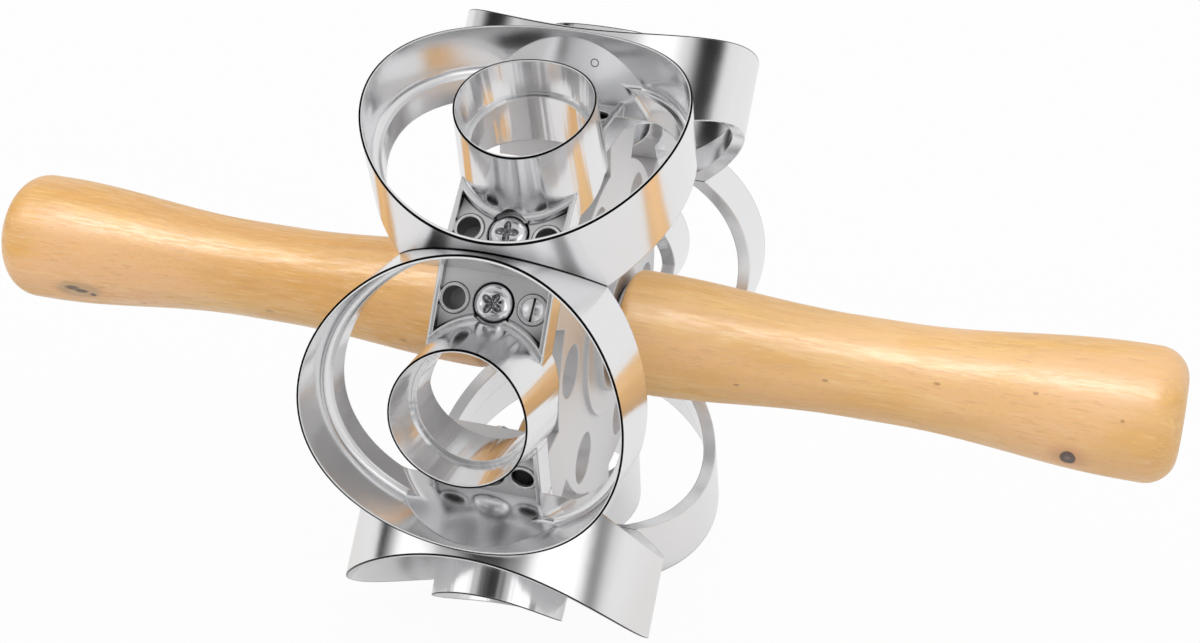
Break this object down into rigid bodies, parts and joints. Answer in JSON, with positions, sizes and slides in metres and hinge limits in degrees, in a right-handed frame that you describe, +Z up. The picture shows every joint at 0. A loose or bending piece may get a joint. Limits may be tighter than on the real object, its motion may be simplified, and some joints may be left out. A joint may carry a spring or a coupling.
{
  "type": "donut cutter roller",
  "caption": "Hand roller with ring-shaped cutters round its drum, a free-turning cast hub and two turned wooden handles, for stamping ring doughnuts from sheeted dough.",
  "frame": {"origin": "on the spindle's axis, midway between the two handles' outer ends", "axes": "+X along the spindle towards the right handle, +Y away from the user, +Z up"},
  "size_m": [0.326, 0.1584, 0.1584],
  "materials": {
    "cutter_casting": "polished",
    "hub_casting": "satin cast",
    "screw_steel": "bright",
    "spindle_steel": "turned",
    "insert_brass": "turned",
    "handle_wood": "varnished"
  },
  "bodies": {
    "handles": {"left_handle": "handle_wood", "right_handle": "handle_wood", "spindle": "spindle_steel", "left_insert": "insert_brass", "right_insert": "insert_brass", "left_washer": "spindle_steel", "right_washer": "spindle_steel"},
    "drum": {"hub": "hub_casting", "cutter_1": "cutter_casting", "cutter_2": "cutter_casting", "cutter_3": "cutter_casting", "cutter_4": "cutter_casting", "cutter_5": "cutter_casting", "cutter_6": "cutter_casting", "cutter_screws": "screw_steel", "slotted_plug": "screw_steel"}
  },
  "joints": [
    {"name": "drum_spin", "type": "hinge", "parent": "handles", "child": "drum", "pos_m": [0, 0, 0], "axis": [1, 0, 0], "continuous": true}
  ]
}
